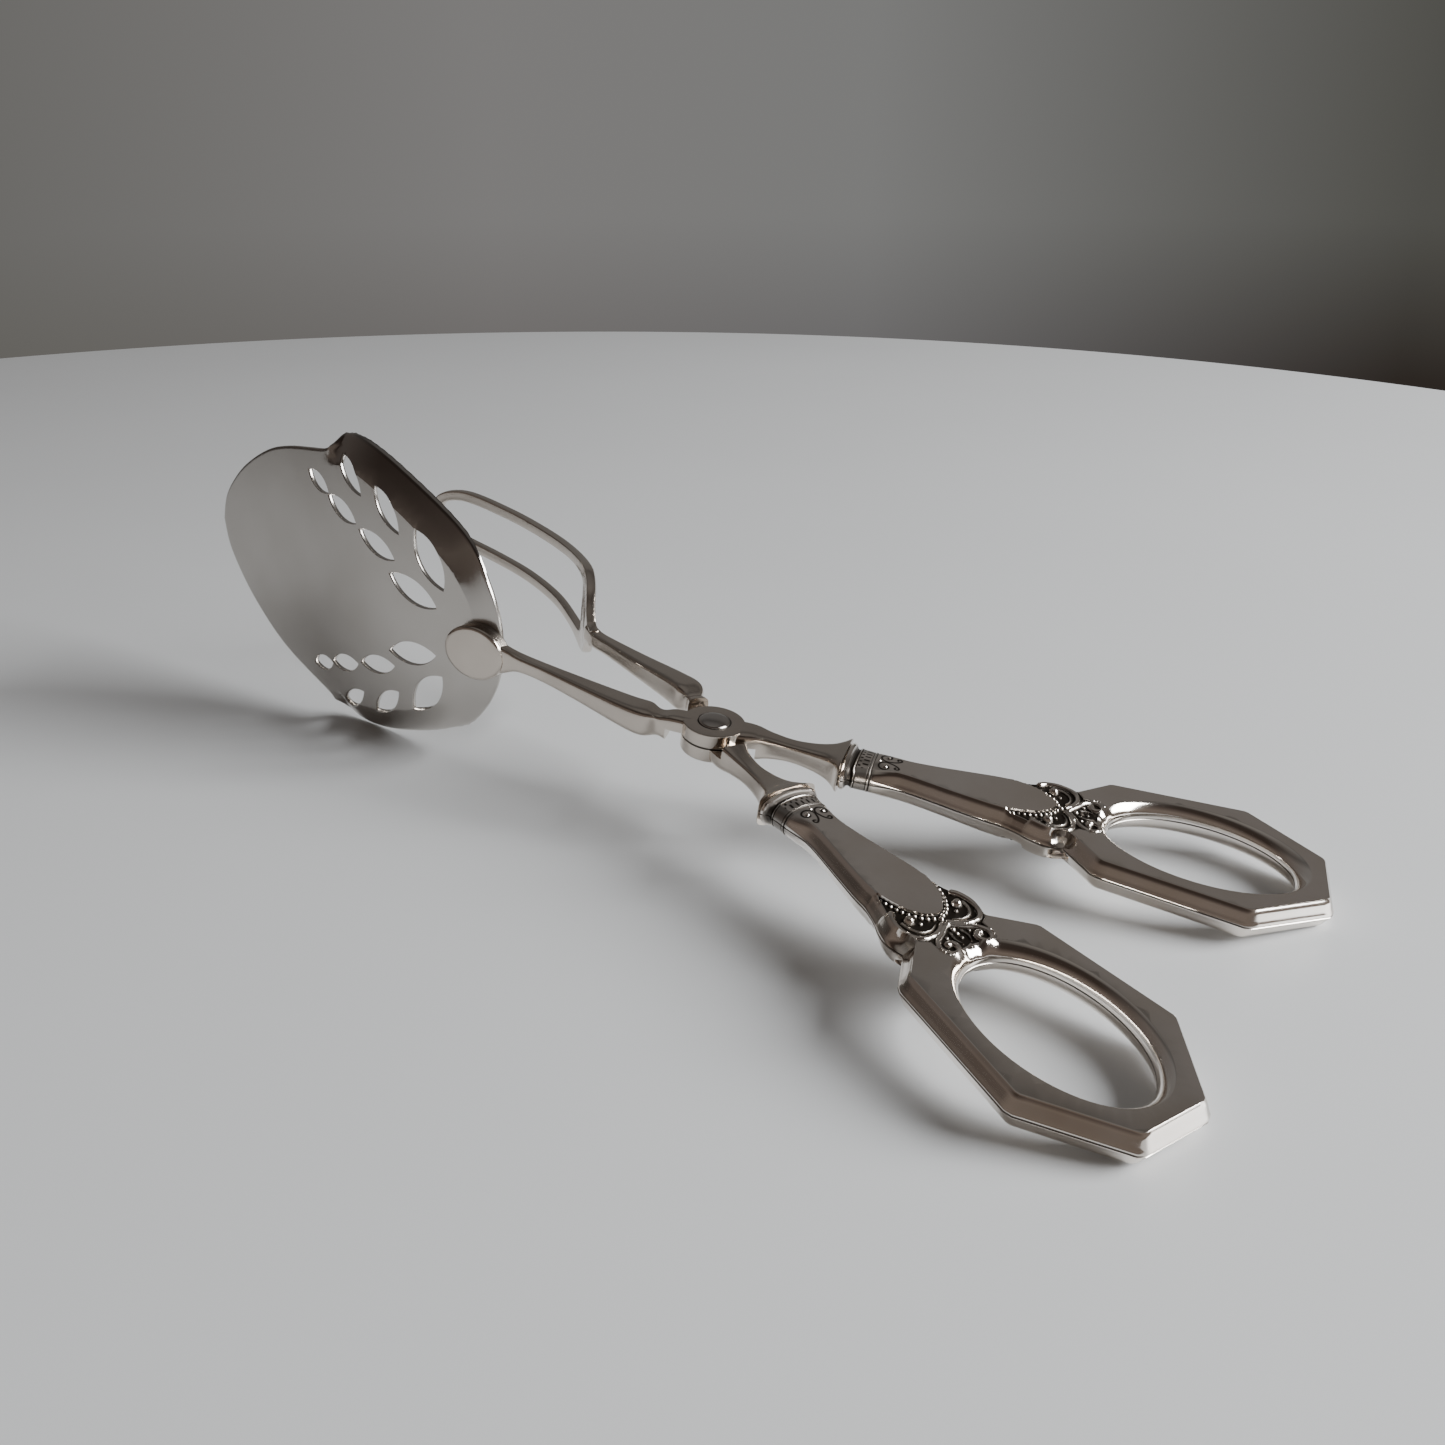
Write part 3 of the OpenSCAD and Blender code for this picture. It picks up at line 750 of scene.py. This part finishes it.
def disc(shape, level):
    """Half-lap disc with broken edges and its bore."""
    bore = RIVET_R if level > 0 else RIVET_R + RUNNING_GAP
    top = LAP + DISC_T
    # from the slit outwards: (radius, height, oxide)
    rows = [(bore, LAP, 0.6), (DISC_R - 0.2, LAP, 0.5), (DISC_R - 0.05, LAP + 0.08, 0.3),
            (DISC_R, LAP + 0.25, 0), (DISC_R, top - 0.28, 0), (DISC_R - 0.07, top - 0.08, 0),
            (DISC_R - 0.28, top, 0), (DOME_R + 0.32, top, 0),
            (DOME_R + 0.12, top - RIVET_SINK, 0.9), (bore, top - RIVET_SINK, 0.9)]
    if level < 0:
        rows = [(r, -z, oxide) for r, z, oxide in rows[::-1]]
    rings = lathe(shape, rows)
    shape.strip(rings[-1], rings[0])


# (x, y, half width, half height) rows in the rivet frame
SERVER_PATH = [(-1.0, 2.5, 2.2, 2.45), (-2.6, 6.0, 2.0, 2.45), (-3.5, 8.3, 1.7, 1.9),
               (-4.3, 10.6, 2.5, 2.4), (-4.8, 14.6, 2.35, 2.2), (-5.0, 23.4, 1.8, 1.7),
               (-5.3, 31.8, 1.3, 1.4), (-5.9, 37.5, 1.2, 1.5), (-7.0, 40.4, 1.2, 2.5),
               (-7.9, 42.4, 1.1, 3.0)]
LOOP_PATH = [(1.4, 2.2, 2.2, 2.45), (4.2, 6.4, 1.8, 2.45), (5.6, 8.4, 1.6, 1.9),
             (7.2, 10.8, 2.5, 2.4), (8.2, 15, 2.3, 2.2), (9.4, 23.2, 1.8, 1.7),
             (10.6, 31, 1.3, 1.4), (11.2, 35, 1.2, 1.4), (12.4, 37.8, 1.15, 1.6)]
# (x, y, half width, half height) rows in a handle's frame; x turns with the handle's side
NECK = [(0, 73.6, 5.3, 2.9), (0, 73.9, 5.15, 2.8), (0, 74.8, 3.9, 2.6), (0, 76.4, 2.7, 2.2),
        (0, 79, 1.9, 1.8), (0, 82.5, 1.5, 1.6), (-0.1, 86, 1.75, 1.9), (-0.4, 88.8, 2.45, 2.4),
        (-0.9, 91.5, 2.9, 2.45)]


def neck_rows(which):
    """The neck's rows carried into the rivet frame."""
    side = 1 if which == FAR else -1
    to_rivet = RIVET.inverted() @ handle_frame(which)
    rows = []
    for x, y, w, h in NECK:
        at = to_rivet @ Vector((side * x * MM, y * MM, 0)) / MM
        rows.append((at.x, at.y, w, h))
    return rows


def dish_x(s, w):
    """The server's outer face: a ball's dish behind, running out as a trough in front."""
    back = np.minimum(s - DISH_S0, 0)
    return DISH_R - np.sqrt(DISH_R ** 2 - back ** 2 - w ** 2)


# Pad between the arm and the server: middle, turn, half length and half height
PAD_AT, PAD_TURN, PAD_ALONG, PAD_UP = (-9.9, 45.2), math.radians(14), 5.8, 5.0
# Its rings clear of the dish, as (scale, depth), and the depth from which it is fitted to the dish
PAD_OUTSIDE = [(0.86, 0.0), (0.94, 0.08), (0.985, 0.26), (1.0, 0.55)]
PAD_DEPTH = 0.6


def pad(shape):
    """Oval pad between the arm and the server, its back fitted to the dish."""
    steps = 72
    a = np.linspace(0, 2 * math.pi, steps, endpoint=False)
    turn = Matrix.Rotation(PAD_TURN, 3, "Z")
    to_blade = np.array(BLADE.inverted() @ RIVET)

    def ring(scale, depth):
        pts = [turn @ Vector((depth, PAD_ALONG * scale * math.cos(t), PAD_UP * scale * math.sin(t)))
               for t in a]
        return np.array([(p.x + PAD_AT[0], p.y + PAD_AT[1], p.z) for p in pts])

    def to_dish(ring_pts, into):
        pts = ring_pts.copy()
        for _ in range(4):
            local = (to_blade[:3, :3] @ (pts * MM).T).T / MM + to_blade[:3, 3] / MM
            pts[:, 0] += dish_x(local[:, 1], local[:, 2]) + into - local[:, 0]
        return pts
    rings = [shape.add(ring(scale, depth)) for scale, depth in PAD_OUTSIDE]
    rings.append(shape.add(to_dish(ring(1.0, PAD_DEPTH), 0.02), 0.5))
    rings.append(shape.add(to_dish(ring(0.97, PAD_DEPTH), 0.3)))
    shape.loft(rings)
    shape.fan(rings[0], ring(0.0, 0.0)[0], 0, True)
    shape.fan(rings[-1], to_dish(ring(0.0, PAD_DEPTH), 0.3)[0])


def server_arm():
    """Arm, neck, disc and pad of the server's side."""
    shape = Shape()
    bar(shape, SERVER_PATH, 1)
    bar(shape, neck_rows(FAR), 1)
    disc(shape, 1)
    pad(shape)
    return shape.make("server_arm_steel", RIVET, SERVER, ["server_arm"], STEEL, 38)


# ---------------------------------------------------------------- sheet pieces
# Rows round a sheet's edge: (share of the way out, share of the way in depth)
BULL_ROWS = ((0.7, 0.09), (1.0, 0.34), (1.0, 0.66), (0.7, 0.91))


def sheet(shape, loops, grids, place, bull, hole_bull, lines=None, shade=None):
    """A sheet with bull-nosed edges. place(points, depth) puts flat points at a depth, 0 on the
    outer face to 1 on the inner one; shade(points) sets their dark value."""
    shade = shade or (lambda p: 0.0)
    share = [bull] + [hole_bull] * (len(loops) - 1)
    inset = [loop - normals_2d(loop) * b for loop, b in zip(loops, share)]
    flat, tris = fill(inset, grids, lines)
    faces = [shape.add(place(flat, depth), shade(flat)) for depth in (0.0, 1.0)]
    shape.patch(faces[0], tris, True)
    shape.patch(faces[1], tris, False)
    start = 0
    for loop, inner in zip(loops, inset):
        n = len(loop)
        rows = [faces[0][start:start + n]]
        for out, depth in BULL_ROWS:
            rows.append(shape.add(place(inner + (loop - inner) * out, depth), shade(inner)))
        rows.append(faces[1][start:start + n])
        shape.loft(rows)
        start += n


# Half outline of the flat blade, (along, out): the wing, then the tip
RIM = [(42.2, 0), (42.4, 3.2), (43.4, 7.4), (45.6, 11.8), (50.2, 17.2), (56, 21), (62.4, 24.2),
       (70, 27.1), (76, 28.6), (80.4, 28.85), (83.2, 28.3)]
TIP = [(83.4, 27.9), (84.0, 26.2), (85.6, 25.2), (87.6, 24.6), (90.5, 23.9), (97, 22.2),
       (103, 19.9), (109, 16.2), (114.5, 11.6), (119.3, 5.6), (121.0, 0)]
RIM_W, RIM_SLOPE = 5.2, 0.6                  # turned-in rim along the wings: width and slope
WING_START, WING_END = (44, 56), (83.1, 84.5)     # where the rim starts and stops turning in
FLATTER = 0.42           # how much flatter the sheet lies across than the ball it is dished to
BLADE_BULL, LEAF_BULL = 0.28, 0.12           # width of the rounded edges of blade and holes
BLADE_BORDER = 0.65      # a line of points this far inside the edge keeps its shading even
# Leaf holes on one side: along, out, length, width, turn in degrees
LEAVES = [(61.4, 6.2, 11.5, 4.4, 15), (70.4, 12.0, 9.6, 3.6, 17), (80.0, 15.6, 8.6, 3.4, 19),
          (87.2, 18.6, 6.8, 3.0, 21), (57.9, 13.2, 11.6, 5.0, 54), (68.2, 19.2, 9.4, 3.6, 47),
          (78.0, 22.6, 8.6, 3.2, 41)]


def leaf(along, out, length, width, turn, sign):
    """Leaf hole between two arcs, turned, on the side of the given sign."""
    r = (length ** 2 + width ** 2) / (4 * width)
    half = math.asin(length / 2 / r)
    a = np.linspace(-half, half, 15)
    arc = np.stack([r * np.sin(a), r * np.cos(a) - (r - width / 2)], 1)
    loop = np.vstack([arc[:-1], (arc[::-1] * (1, -1))[:-1]])
    c, s = math.cos(math.radians(turn)), math.sin(math.radians(turn))
    loop = loop @ np.array([[c, s], [-s, c]]) + (along, out)
    if sign < 0:
        loop = (loop * (1, -1))[::-1]
    return loop


def server_blade():
    """Dished blade with its pierced leaves and the turned-in rim of its wings."""
    shape = Shape()
    half = np.vstack([curve(RIM, 6), curve(TIP, 6)])
    outline = np.vstack([half, half[-2:0:-1] * (1, -1)])[::-1]
    outline = resample(outline, 0.8)
    holes = [leaf(*row, sign) for row in LEAVES for sign in (1, -1)]
    wing = curve(RIM, 3)
    rims = np.vstack([wing[::-1], wing[1:] * (1, -1)])

    def on_wing(s):
        return smoothstep(s, *WING_START) * (1 - smoothstep(s, *WING_END))

    def rim_polish_and_shade(p):
        """1 on the upper wing's bright-polished turned-in rim, also painted darker there as shade, 0 on the satin
        of the rest.
        """
        gap, _ = distance(p, rims)
        return (gap < RIM_W - 0.05) * (p[:, 1] > 0) * on_wing(p[:, 0])

    def form(s, w):
        """Outer face: a shallow dish whose rim turns in more sharply along the wings."""
        flat = np.column_stack([s, w])
        gap, _ = distance(flat, rims)
        shallow = dish_x(s, w * (1 - FLATTER * smoothstep(s, *WING_START)))
        over = np.clip(RIM_W - gap, 0, None)
        return shallow + over * over / (over + 0.5) * RIM_SLOPE * on_wing(s)

    def place(p, depth):
        """Points on the blade, set in from the outer face along its slope."""
        s, w = p[:, 0], p[:, 1]
        e = 0.05
        x = form(s, w)
        ds = (form(s + e, w) - form(s - e, w)) / (2 * e)
        dw = (form(s, w + e) - form(s, w - e)) / (2 * e)
        n = np.stack([np.ones_like(s), -ds, -dw], 1)
        n /= np.linalg.norm(n, axis=1)[:, None]
        return np.column_stack([x, s, w]) + n * SHEET_T * depth

    pitch = 1.3
    grid = hex_grid((41, -31), (122, 31), pitch)
    # feature lines: the rim's inner edge, the notches where it stops, and the border
    crease = np.vstack([offset(curve(RIM, 8), RIM_W + gap) for gap in (-0.1, 0.1)])
    notch = [np.array([(s, w) for w in np.arange(22.5, 27.6, 0.5)]) for s in WING_END]
    crease = np.vstack([crease[(crease[:, 1] > 1) & (crease[:, 0] < WING_END[0])]] + notch)
    border = outline - normals_2d(outline) * BLADE_BORDER
    lines = np.vstack([crease, crease * (1, -1), border])
    sheet(shape, [outline] + holes, [(grid, pitch * 0.55)], place, BLADE_BULL, LEAF_BULL, lines,
          rim_polish_and_shade)
    return shape.make("server_blade_steel", BLADE, SERVER, ["server_blade"], BLADE_STEEL,
                      40, 50)


BAND_BULL = 0.35         # width of the loop jaw's rounded edges
# Line of the loop jaw seen from above, (x, y) in the rivet frame
BAND_LINE = [(10.9, 35.4), (13.4, 38.8), (16.9, 42.2), (20.3, 46.2), (24.4, 52.5), (28.2, 60.5),
             (31, 70.5), (32.3, 80), (32.7, 90), (31.9, 102)]
# Half outlines of the jaw seen from the side, (y, z): outer, from its root, and inner
LOOP_ROOT = (35.6, 1.6)
LOOP_OUT = [(37.4, 1.9), (39.4, 4.2), (41.2, 6.6), (43.4, 7.9), (46, 8.3), (52, 7.7),
            (60, 7.0), (70, 6.6), (80, 6.5), (90, 6.3), (95, 5.3), (98.4, 3.6), (100, 1.6),
            (100.4, 0)]
LOOP_IN = [(45.6, 0), (45.6, 3.6), (46.6, 5.4), (52, 5.6), (60, 4.9), (70, 4.5), (80, 4.35),
           (90, 4.1), (94.5, 3.2), (97.2, 1.8), (98.2, 0)]


def loop_band(shape):
    """Open loop jaw, cut from strip and bowed outwards."""
    line = curve(BAND_LINE, 12)
    way = headings(line)

    def both(rows, root=None):
        """A half outline with its mirror image, starting at the root if there is one."""
        half = curve(rows, 5)
        if root:
            half = np.vstack([[root], half])
        other = (half[::-1] * (1, -1))[1:]
        return np.vstack([half, other if root else other[:-1]])
    outer = resample(both(LOOP_OUT, LOOP_ROOT)[::-1], 1.0)
    inner = resample(both(LOOP_IN), 1.0)

    def place(p, depth):
        y, z = p[:, 0], p[:, 1]
        x = np.interp(y, line[:, 1], line[:, 0])
        nx = np.interp(y, line[:, 1], way[:, 1])
        ny = np.interp(y, line[:, 1], -way[:, 0])
        shift = (0.5 - depth) * BAND_T
        return np.column_stack([x - nx * shift, y - ny * shift, z])
    grid = hex_grid((34, -9), (102, 9), 1.4)
    sheet(shape, [outer, inner], [(grid, 0.8)], place, BAND_BULL, BAND_BULL)


def loop_arm():
    """Arm, neck, disc and open jaw of the loop's side."""
    shape = Shape()
    bar(shape, LOOP_PATH, -1)
    bar(shape, neck_rows(NEAR), -1)
    disc(shape, -1)
    loop_band(shape)
    return shape.make("loop_arm_steel", RIVET, LOOP, ["loop_arm"], STEEL, 38)


def pivot_rivet():
    """Rivet with a domed head above and a flatter one below, both seated in their discs."""
    shape = Shape()
    top = LAP + DISC_T
    low = -top - LAP
    shank = RIVET_R - 0.02
    turns = [math.pi / 2 * k / 8 for k in range(1, 9)]
    rows = [(DOME_R * math.sin(a), low - LOW_DOME_H * math.cos(a), 0) for a in turns]
    rows += [(DOME_R, RIVET_SINK - top, 0.7), (shank, 0.08 - top, 0.8), (shank, top - 0.1, 0.8),
             (DOME_R, top - 0.08, 0.7)]
    rows += [(DOME_R * math.sin(a), top + DOME_H * math.cos(a), 0) for a in turns[::-1]]
    rings = lathe(shape, rows, 72)
    shape.fan(rings[0], (0, 0, low - LOW_DOME_H), 0, True)
    shape.fan(rings[-1], (0, 0, top + DOME_H))
    return shape.make("pivot_rivet_steel", RIVET, SERVER, ["pivot_rivet"], RIVET_STEEL, 40)


# ---------------------------------------------------------------- the object
for which_handle in (NEAR, FAR):
    for half_level in (1, -1):
        handle_half(which_handle, half_level)
server_arm()
server_blade()
loop_arm()
pivot_rivet()
cement = cement_material()
for cement_node in ("near_cement", "far_cement"):
    core = frame["nodes"][cement_node]
    core.data.materials.clear()
    core.data.materials.append(cement)


# ---------------------------------------------------------------- table, wall, light, camera
def plain_material(name, colour, rough, wear):
    """Matt paint with slightly darker patches."""
    mat, tree, bsdf, coords = new_material(name)
    patchy = noise(tree, coords, PAINT_SCALE, 4.0)
    worn = tuple(c * (1 - wear) for c in colour)
    feed(tree, bsdf.inputs["Base Color"], ramp(tree, patchy, [(0.3, worn), (0.7, colour)]))
    bsdf.inputs["Roughness"].default_value = rough
    return mat


# Colours of the room from the view's left (0) to its right (1)
LOW_WALL = [(0.0, (0.11, 0.095, 0.085)), (0.26, (0.125, 0.12, 0.108)), (0.42, (0.155, 0.145, 0.14)),
            (0.55, (0.145, 0.14, 0.14)), (0.72, (0.03, 0.024, 0.02)), (1.0, (0.05, 0.04, 0.035))]
HIGH_WALL = [(0.0, (0.035, 0.028, 0.025)), (0.22, (0.13, 0.127, 0.118)),
             (0.42, (0.205, 0.20, 0.195)), (0.55, (0.20, 0.20, 0.195)),
             (0.72, (0.085, 0.084, 0.075)), (1.0, (0.10, 0.08, 0.065))]
CEILING = [(0.0, (0.12, 0.10, 0.09)), (0.4, (0.165, 0.16, 0.157)), (0.66, (0.165, 0.156, 0.15)),
           (1.0, (0.13, 0.115, 0.105))]
# Colours behind the viewer, from straight down (0) to straight up (1)
BEHIND = [(0.5, (0.14, 0.115, 0.10)), (0.64, (0.18, 0.15, 0.13)), (0.73, (0.10, 0.08, 0.07)),
          (0.8, (0.04, 0.03, 0.025)), (0.9, (0.04, 0.032, 0.028)), (1.0, (0.22, 0.21, 0.20))]

TABLE_R, TABLE_THICK, TABLE_Y = 0.516, 0.03, 0.105   # m; TABLE_Y is the middle's place along +Y
TABLE_COLOUR = (0.73, 0.74, 0.745)


def table():
    """Round white table top whose far edge closes the view."""
    steps = 200
    a = np.linspace(0, 2 * math.pi, steps, endpoint=False)
    rows = [(TABLE_R - 0.004, 0.0), (TABLE_R - 0.001, -0.001), (TABLE_R, -0.005),
            (TABLE_R, -TABLE_THICK)]
    verts = [(r * math.cos(t), TABLE_Y + r * math.sin(t), z) for r, z in rows for t in a]
    faces = [tuple(range(steps))]
    for k in range(len(rows) - 1):
        for i in range(steps):
            j = (i + 1) % steps
            faces.append((k * steps + i, (k + 1) * steps + i, (k + 1) * steps + j, k * steps + j))
    mesh = bpy.data.meshes.new("table")
    mesh.from_pydata(verts, [], faces)
    mesh.materials.append(plain_material("table_top", TABLE_COLOUR, 0.4, 0.03))
    top = bpy.data.objects.new("table", mesh)
    bpy.context.scene.collection.objects.link(top)


def world_light():
    """A dim room: a pale wall ahead, darker to the right and low down, and brown behind."""
    world = bpy.data.worlds.new("room")
    bpy.context.scene.world = world
    world.use_nodes = True
    tree = world.node_tree
    way = tree.nodes.new("ShaderNodeTexCoord").outputs["Generated"]

    def along(direction):
        """0 to 1 from against a direction to along it."""
        dot = tree.nodes.new("ShaderNodeVectorMath")
        dot.operation = "DOT_PRODUCT"
        dot.inputs[1].default_value = direction * 0.5
        tree.links.new(way, dot.inputs[0])
        return maths(tree, "ADD", dot.outputs["Value"], 0.5)
    right, up = along(VIEW_RIGHT), along(Vector((0, 0, 1)))
    # three bands across the view, from its left to its right: low wall, high wall and ceiling
    low, high, over = (ramp(tree, right, band) for band in (LOW_WALL, HIGH_WALL, CEILING))
    lift = ramp(tree, up, [(0.42, 0.0), (0.47, 1.0)])
    wall = mix(tree, lift, low, high)
    wall = mix(tree, ramp(tree, up, [(0.54, 0.0), (0.66, 1.0)]), wall, over)
    above = ramp(tree, up, [(0.8, 1.0), (0.88, 0.55), (0.96, 1.0)])
    wall = mix(tree, above, (0, 0, 0), wall)
    ahead = ramp(tree, along(VIEW_AHEAD), [(0.35, 0.0), (0.62, 1.0)])
    shade = mix(tree, ahead, ramp(tree, up, BEHIND), wall)
    background = tree.nodes["Background"]
    feed(tree, background.inputs["Color"], shade)
    background.inputs["Strength"].default_value = 1.0


WINDOW_WAY = Vector((0.38, -0.86, 0.50)).normalized()    # from the tongs to the window
WINDOW_FAR, WINDOW_SIZE = 1.3, (0.8, 0.7)                # m
WINDOW_POWER, WINDOW_COLOUR = 38, (0.97, 0.985, 1.0)


def window_light():
    """Soft daylight from one window."""
    data = bpy.data.lights.new("window", "AREA")
    data.shape = "RECTANGLE"
    data.size, data.size_y = WINDOW_SIZE
    data.energy = WINDOW_POWER
    data.color = WINDOW_COLOUR
    lamp = bpy.data.objects.new("window", data)
    lamp.location = WINDOW_WAY * WINDOW_FAR
    lamp.rotation_euler = WINDOW_WAY.to_track_quat("Z", "Y").to_euler()
    bpy.context.scene.collection.objects.link(lamp)


EYE = Vector((-0.15825, -0.13392, 0.10795))              # the camera's place, m
FORWARD = Vector((0.73087, 0.54639, -0.40901)).normalized()
VIEW_RIGHT = Vector((0.59576, -0.80312, -0.00830)).normalized()
VIEW_AHEAD = Vector((0.80, 0.60, 0.0)).normalized()      # level, for the room's colours
LENS = 33.45             # mm, on a sensor 36 mm wide


def camera():
    """The camera, with nothing out of focus."""
    data = bpy.data.cameras.new("camera")
    data.sensor_width = 36.0
    data.lens = LENS
    eye = bpy.data.objects.new("camera", data)
    up = VIEW_RIGHT.cross(FORWARD).normalized()
    turn = Matrix((VIEW_RIGHT, up, -FORWARD)).transposed().to_4x4()
    eye.matrix_world = Matrix.Translation(EYE) @ turn
    data.clip_start, data.clip_end = 0.005, 20
    bpy.context.scene.collection.objects.link(eye)
    bpy.context.scene.camera = eye


table()
world_light()
window_light()
camera()
